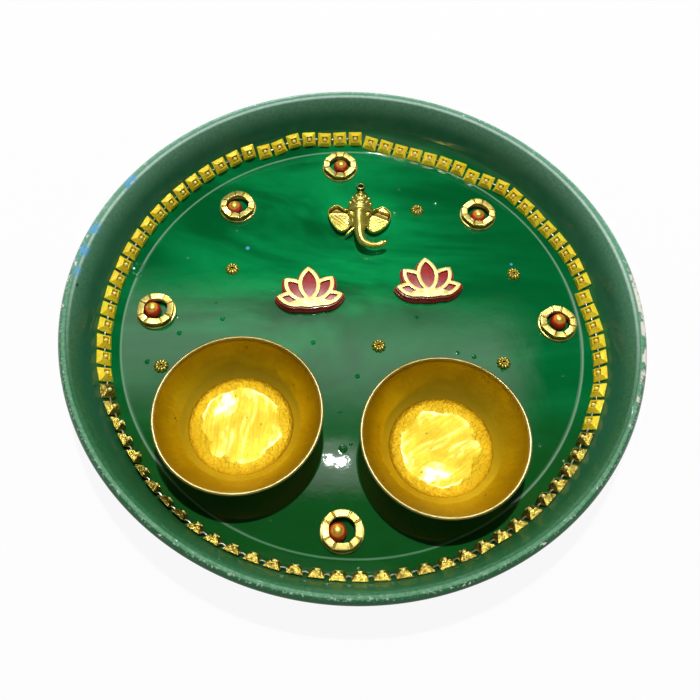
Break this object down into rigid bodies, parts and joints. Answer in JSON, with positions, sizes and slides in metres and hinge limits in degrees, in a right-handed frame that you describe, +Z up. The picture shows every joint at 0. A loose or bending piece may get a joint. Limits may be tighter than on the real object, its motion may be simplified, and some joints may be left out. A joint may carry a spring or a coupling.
{
  "type": "puja thali",
  "caption": "Round enamelled metal tray with a flared wall and rolled rim, decorated with chain, bead settings and ornaments, holding loose brass bowls for offerings.",
  "frame": {"origin": "centre of the tray's underside, on the surface that it rests on", "axes": "+Z up, +Y towards the elephant charm's side, the far side in the picture, +X to the right as seen by the viewer"},
  "size_m": [0.2, 0.2, 0.0198],
  "materials": {
    "green_enamel": "glossy green enamel under a clear coat, with small bubbles and specks",
    "bowl_brass": "spun and brushed, bright inside",
    "chain_gilt": "bright gilt",
    "stud_gilt": "bright pale gilt",
    "wire_silver": "bright wire",
    "ring_gilt": "stamped gilt under clear glue",
    "bead_red": "glossy red",
    "tip_gilt": "bright gilt",
    "flower_gilt": "stamped gilt",
    "ornament_red": "glossy red edges and steps",
    "ornament_gilt": "gilt face",
    "charm_cast": "pale gilt casting, glossy"
  },
  "bodies": {
    "tray": {"bottom_bead": "bead_red", "bottom_bead_tip": "tip_gilt", "bottom_ring": "ring_gilt", "centre_flower": "flower_gilt", "elephant_charm": "charm_cast", "front_chain_cups": "chain_gilt", "front_chain_studs": "stud_gilt", "front_chain_wires": "wire_silver", "left_bead": "bead_red", "left_bead_tip": "tip_gilt", "left_chain_cups": "chain_gilt", "left_chain_studs": "stud_gilt", "left_chain_wires": "wire_silver", "left_lotus_body": "ornament_red", "left_lotus_face": "ornament_gilt", "left_ring": "ring_gilt", "lower_left_flower": "flower_gilt", "lower_right_flower": "flower_gilt", "plate": "green_enamel", "right_bead": "bead_red", "right_bead_tip": "tip_gilt", "right_chain_cups": "chain_gilt", "right_chain_studs": "stud_gilt", "right_chain_wires": "wire_silver", "right_flower": "flower_gilt", "right_lotus_body": "ornament_red", "right_lotus_face": "ornament_gilt", "right_ring": "ring_gilt", "top_bead": "bead_red", "top_bead_tip": "tip_gilt", "top_left_chain_cups": "chain_gilt", "top_left_chain_studs": "stud_gilt", "top_left_chain_wires": "wire_silver", "top_right_chain_cups": "chain_gilt", "top_right_chain_studs": "stud_gilt", "top_right_chain_wires": "wire_silver", "top_ring": "ring_gilt", "upper_left_bead": "bead_red", "upper_left_bead_tip": "tip_gilt", "upper_left_flower": "flower_gilt", "upper_left_ring": "ring_gilt", "upper_right_bead": "bead_red", "upper_right_bead_tip": "tip_gilt", "upper_right_flower": "flower_gilt", "upper_right_ring": "ring_gilt"},
    "left_bowl_body": {"left_bowl": "bowl_brass"},
    "right_bowl_body": {"right_bowl": "bowl_brass"}
  },
  "joints": [
    {"name": "left_bowl_lift", "type": "slide", "parent": "tray", "child": "left_bowl_body", "axis": [0, 0, 1], "range_m": [0, 0.08]},
    {"name": "right_bowl_lift", "type": "slide", "parent": "tray", "child": "right_bowl_body", "axis": [0, 0, 1], "range_m": [0, 0.08]}
  ]
}
